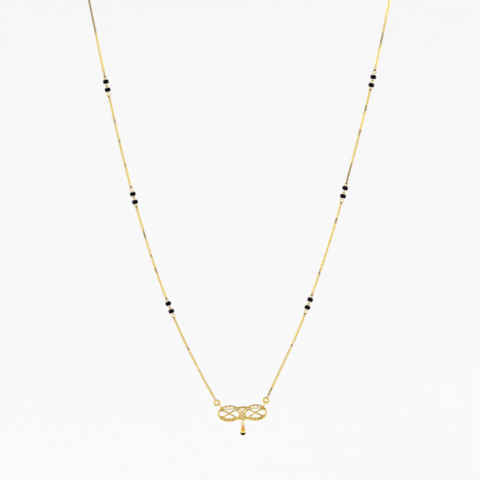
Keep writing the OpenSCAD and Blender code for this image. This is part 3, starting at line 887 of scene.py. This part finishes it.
shape = bmesh.new()
inset = strand_w / 2
for mirrored in (False, True):
    # The strand that rises to the right crosses over the other in both lobes, and from there the
    # strands go over and under each other by turns
    first, second = (under, over) if mirrored else (over, under)
    add_strand(shape, end_loop(1, plain_top, first) + smoothed([
        (lobe_x, 0, first), (3.75, -0.62, plain_top), (2.75, -1.15, plain_top),
        (1.7, -2.02, plain_top),
    ]), strand_w, mirrored=mirrored)
    add_strand(shape, end_loop(-1, plain_top, second) + smoothed([
        (lobe_x, 0, second), (3.55, 0.68, plain_top), (2.6, 1.08, 0.45), (1.85, 0.92, 0.45),
        (1.3, 0.25, plain_top), (0.72, -0.42, second), (0, -1, first), (-0.85, -1.66, plain_top),
        (-1.5, -2.05, plain_top),
    ]), strand_w, mirrored=mirrored)
    add_strand(shape, lobe_arc(17, 126, inset) + smoothed([
        (1.8, 1.85, outline_top), (0.95, 1.22, outline_top), (0, 0.48, first),
        (-0.75, -0.42, second),
        (-1.35, -1.25, plain_top), (-1.9, -1.9, outline_top),
    ]), strand_w, mirrored=mirrored)
    foot = lobe_arc(-17, -126, inset)
    add_strand(shape, foot[:6] + [(u, v, hollow_top) for u, v, top in foot[6:]] + [
        (1.2, -2.12, outline_top), (0, -2.05, outline_top), (-0.2, -2.05, outline_top),
    ], strand_w, mirrored=mirrored)
    add_strand(shape, smoothed([
        (2, 1.75, 0.3), (1.2, 1.98, plain_top), (0, 2.06, plain_top), (-0.2, 2.06, plain_top),
    ]), arch_w, mirrored=mirrored)
    # Upper petal: its lower edge and its slanted ribs
    add_strand(shape, smoothed([
        (7.9, 1.3, petal_top), (7, 1.6, petal_top), (6, 1.58, petal_top), (4.7, 1.54, petal_top),
        (3.4, 1.6, petal_top), (2.4, 1.76, petal_top), (1.95, 1.9, petal_top),
    ]), rib_w, mirrored=mirrored)
    for i in range(ribs):
        off = rib_step * (i - (ribs - 1) / 2) + 0.2
        x = lobe_x + off
        add_strand(shape, [
            (x - rib_slant, 1.5, petal_top), (x + rib_slant, 2.75 - 0.1 * off * off, petal_top),
        ], rib_w, mirrored=mirrored)
    # Lower petal: a thin crescent, its raised inner edge, and the flutes across it
    for row in (0, 0.12, 0.24):
        add_strand(
            shape, lobe_arc(-40, -129, strand_w + row, row / 2, plate_top), flute_w,
            mirrored=mirrored
        )
    add_strand(
        shape, lobe_arc(-40, -129, strand_w + petal_w, petal_w / 2, petal_top), rib_w,
        mirrored=mirrored
    )
    for i in range(flutes):
        a = math.radians(-54 - 72 * i / (flutes - 1))
        add_strand(shape, [
            (
                lobe_x + (lobe_a - flute_inset) * math.cos(a),
                (lobe_b - flute_inset) * math.sin(a), outline_top
            ), (
                lobe_x + (lobe_a - strand_w - petal_w) * math.cos(a),
                (lobe_b - strand_w - 1.5 * petal_w) * math.sin(a), 0.2
            ),
        ], flute_w, mirrored=mirrored)

# Eyelets on their stems, and the loop for the drop under its collar, seen edge on
stand_up = Matrix(((1, 0, 0, 0), (0, 0, 1, 0), (0, -1, 0, 0), (0, 0, 0, 1)))
for side, way in ((-1, left_ring_way), (1, right_ring_way)):
    x, z = side * eyelet[0], eyelet[1]
    lie = Matrix.Translation((x, z, 0)) @ Matrix.Rotation(way - math.pi / 2, 4, "Z")
    add_ring(shape, eyelet_d, eyelet_wire, lie @ stand_up.inverted(), edge_on=True)
    reach = (eyelet_d - eyelet_wire) / 2
    root = Vector((x - reach * math.cos(way), z - reach * math.sin(way), 0))
    add_wire(shape, [Vector((side * eyelet_foot[0], eyelet_foot[1], 0)), root], stem_d, Matrix())
loop_place = Matrix.Translation((loop_x, -loop_down, 0))
add_ring(shape, loop_d, loop_wire, loop_place @ stand_up.inverted(), edge_on=True)
bmesh.ops.create_cone(
    shape, cap_ends=True, segments=24, radius1=0.3, radius2=0.45, depth=0.7,
    matrix=Matrix.Translation((loop_x, -2.45, 0)) @ Matrix.Rotation(-math.pi / 2, 4, "X"),
)

rough_mesh = bpy.data.meshes.new("pendant_rough")
shape.to_mesh(rough_mesh)
shape.free()
rough = bpy.data.objects.new("pendant_rough", rough_mesh)
bpy.context.scene.collection.objects.link(rough)
melt = rough.modifiers.new("melt", "REMESH")
melt.mode = "VOXEL"
melt.voxel_size = voxel
rough_melted = rough.evaluated_get(bpy.context.evaluated_depsgraph_get())
melted = bpy.data.meshes.new_from_object(rough_melted)
shape = bmesh.new()
shape.from_mesh(melted)
bpy.data.objects.remove(rough)
bpy.data.meshes.remove(rough_mesh)
bpy.data.meshes.remove(melted)
for i in range(3):
    bmesh.ops.smooth_vert(
        shape, verts=shape.verts, factor=0.5, use_axis_x=True, use_axis_y=True, use_axis_z=True
    )
hang = on_front(pendant_x, pendant_down, -pendant_turn)
toward = Matrix(((1, 0, 0, 0), (0, 0, -1, 0), (0, 1, 0, 0), (0, 0, 0, 1)))
bmesh.ops.transform(shape, matrix=hang @ toward, verts=shape.verts)

# Cast 22 carat gold, bright cut on top: mirror facets on the ridges, and in the hollows a rougher
# and browner skin, where polishing did not reach, with its fine pores drawn coarser. The brown in
# the hollows is also painted shade, deepest in creases and where nearby surfaces close over a hollow
cast_gold, tree = new_material("bright_cut_cast_gold_painted_shade")
coordinates = add_node(tree, "ShaderNodeTexCoord", {})
relief = add_node(tree, "ShaderNodeNewGeometry", {})
ridge = add_node(tree, "ShaderNodeMapRange", {
    "Value": relief.outputs["Pointiness"], "From Min": 0.42, "From Max": 0.53,
})
# Painted shade: the colour browns where an occlusion test finds nearby surfaces close over a hollow,
# and where low pointiness marks a crease
occlusion_shade = add_node(tree, "ShaderNodeAmbientOcclusion", {"Distance": 0.5 * mm}, samples=8)
painted_shade_falloff = add_node(tree, "ShaderNodeMapRange", {
    "Value": occlusion_shade.outputs["AO"], "From Min": 0.34, "From Max": 0.72,
})
polish_and_shade = add_node(tree, "ShaderNodeMath", {
    0: ridge.outputs["Result"], 1: painted_shade_falloff.outputs["Result"],
}, operation="MULTIPLY")
colour = add_node(tree, "ShaderNodeMix", {
    "Factor": polish_and_shade.outputs["Value"], "A": linear("#B26C24"), "B": linear("#FFEA8C"),
}, data_type="RGBA")
skin = add_node(tree, "ShaderNodeTexNoise", {
    "Vector": coordinates.outputs["Object"], "Scale": 1 / (0.22 * mm), "Detail": 4,
    "Roughness": 0.6,
})
roughness = add_node(tree, "ShaderNodeMapRange", {
    "Value": polish_and_shade.outputs["Value"], "From Min": 0, "From Max": 1, "To Min": 0.38, "To Max": 0.12,
})
facets = add_node(tree, "ShaderNodeTexVoronoi", {
    "Vector": coordinates.outputs["Object"], "Scale": 1 / (0.7 * mm),
})
cuts = add_node(tree, "ShaderNodeBump", {
    "Height": facets.outputs["Distance"], "Strength": 0.25, "Distance": 0.12 * mm,
})
pores = add_node(tree, "ShaderNodeBump", {
    "Height": skin.outputs["Fac"], "Strength": 0.15, "Distance": 0.02 * mm,
    "Normal": cuts.outputs["Normal"],
})
shader = add_node(tree, "ShaderNodeBsdfPrincipled", {
    "Base Color": colour.outputs["Result"], "Metallic": 1,
    "Roughness": roughness.outputs["Result"], "Normal": pores.outputs["Normal"],
})
add_node(tree, "ShaderNodeOutputMaterial", {"Surface": shader.outputs["BSDF"]})
finish_piece(shape, "pierced_pendant", [cast_gold], "pendant", crease=60)

# Drop: a small ring of round wire hangs in the pendant's loop and carries a turned bell and cap,
# with a wire eye on top. A black glass bead sits in the cap, held by a peg.
drop_ring_d = 1.5
drop_wire = 0.28
drop_eye = 0.98
drop_bead_d = 1.9
drop_bead_z = -2.66
rim_z = -2.4
groove_z = -1.34
seat_gap = 0.025
peg_d = 0.32
loop_across, loop_low = pendant_point(loop_x, -loop_down)
swing = front(loop_across, loop_low) - Vector((0, 0, (loop_d - loop_wire) / 2))
pivot = swing - Vector((0, 0, drop_ring_d - 1.5 * drop_wire - loop_wire / 2 - play))
ring_middle = pivot + Vector((0, 0, (drop_ring_d - drop_wire) / 2))

shape = bmesh.new()
add_ring(
    shape, drop_ring_d, drop_wire, Matrix.Translation(ring_middle), cut=cut,
    cut_way=math.radians(160)
)
finish_piece(shape, "drop_wire_ring", [wire_gold], "drop_ring", body="drop_ring")

# Turned gold with fine lathe rings round it, drawn about twice as coarse as real ones: the bell is
# left satin and painted a deeper red gold as shade, the cap below the groove is polished and painted
# pale as a highlight
turned = []
for name, dark, light, smoothest, roughest in (
    ("satin_turned_gold_painted_shade", "#E29A38", "#F6BE5C", 0.2, 0.32),
    ("polished_turned_gold_painted_highlight", "#F8D468", "#FFF3A0", 0.08, 0.16),
):
    turned_gold, tree = new_material(name)
    coordinates = add_node(tree, "ShaderNodeTexCoord", {})
    lathe = add_node(tree, "ShaderNodeTexWave", {
        "Vector": coordinates.outputs["Object"], "Scale": 1 / (0.4 * mm), "Distortion": 0.6,
        "Detail": 1,
    }, bands_direction="Z")
    colour = add_node(tree, "ShaderNodeMix", {
        "Factor": lathe.outputs["Fac"], "A": linear(dark), "B": linear(light),
    }, data_type="RGBA")
    roughness = add_node(tree, "ShaderNodeMapRange", {
        "Value": lathe.outputs["Fac"], "From Min": 0, "From Max": 1,
        "To Min": smoothest, "To Max": roughest,
    })
    tool_marks = add_node(tree, "ShaderNodeBump", {
        "Height": lathe.outputs["Fac"], "Strength": 0.2, "Distance": 0.01 * mm,
    })
    shader = add_node(tree, "ShaderNodeBsdfPrincipled", {
        "Base Color": colour.outputs["Result"], "Metallic": 1,
        "Roughness": roughness.outputs["Result"], "Normal": tool_marks.outputs["Normal"],
    })
    add_node(tree, "ShaderNodeOutputMaterial", {"Surface": shader.outputs["BSDF"]})
    turned.append(turned_gold)

# Outline of the bell and cap, out and down from the pivot, then up the hollow for the bead
bell = [
    (0.36, -0.22), (0.44, -0.27), (0.5, -0.34), (0.55, -0.44), (0.58, -0.55), (0.605, -0.7),
    (0.63, -0.85), (0.69, -1.02), (0.74, -1.14), (0.74, -1.2), (0.6, -1.26), (0.56, -1.3),
    (0.56, -1.38), (0.62, -1.42), (0.8, -1.46), (0.88, -1.53), (0.95, -1.72), (0.985, -1.92),
    (0.99, -2.06), (1.04, -2.11), (1.04, rim_z + 0.02), (1.02, rim_z),
]
shape = bmesh.new()
cup = drop_bead_d / 2 + seat_gap
hollow = []
rim_a = math.asin((rim_z - drop_bead_z) / cup)
for i in range(11):
    a = rim_a + (math.pi / 2 - rim_a) * i / 10
    hollow.append((cup * math.cos(a), drop_bead_z + cup * math.sin(a)))
outline = [(0, -0.2)] + bell + hollow
verts = [shape.verts.new((r, 0, z)) for r, z in outline]
for a, b in zip(verts, verts[1:]):
    shape.edges.new((a, b))
bmesh.ops.spin(
    shape, geom=shape.verts[:] + shape.edges[:], cent=(0, 0, 0), axis=(0, 0, 1),
    angle=2 * math.pi, steps=round_steps, use_merge=True,
)
bmesh.ops.remove_doubles(shape, verts=shape.verts, dist=tiny)
add_ring(shape, drop_eye, pin_wire, Matrix(), edge_on=True)
peg_foot, peg_top = drop_bead_z + 0.2, drop_bead_z + drop_bead_d / 2 + seat_gap + 0.05
add_wire(shape, [Vector((0, 0, peg_foot)), Vector((0, 0, peg_top))], peg_d, Matrix())
# Painted light: the cap below the groove takes the gold painted pale as a highlight, the bell above
# it the gold painted deeper as shade
for face in shape.faces:
    face.material_index = 1 if face.calc_center_median().z < groove_z else 0
bmesh.ops.translate(shape, vec=pivot, verts=shape.verts)
finish_piece(shape, "drop_bell_cap", turned, "drop_cap", body="drop")

shape = bmesh.new()
bmesh.ops.create_uvsphere(shape, u_segments=40, v_segments=24, radius=drop_bead_d / 2)
bmesh.ops.translate(shape, vec=pivot + Vector((0, 0, drop_bead_z)), verts=shape.verts)
finish_piece(
    shape, "drop_glass_bead", [bead_glass], "drop_bead", body="drop"
)

# Clasp: an S of round gold wire at the nape, with a ball melted on each tip and one in its middle.
# The end rings of both chains hook into its bends.
hook_ball = 1.1
hook_sweep = math.radians(250)
shape = bmesh.new()
line = []
for way in (1, -1):
    half = []
    for i in range(25):
        a = math.pi - hook_sweep * i / 24
        half.append(way * Vector((hook_r + hook_r * math.cos(a), 0, hook_r * math.sin(a))))
    line = half[::-1] + line if way == 1 else line + half[1:]
add_wire(shape, line, hook_wire, Matrix.Translation(nape))
for ball in (line[0], Vector((0, 0, 0)), line[-1]):
    bmesh.ops.create_uvsphere(
        shape, u_segments=24, v_segments=16, radius=hook_ball / 2,
        matrix=Matrix.Translation(nape + ball)
    )
finish_piece(shape, "s_clasp", [wire_gold], "s_hook")
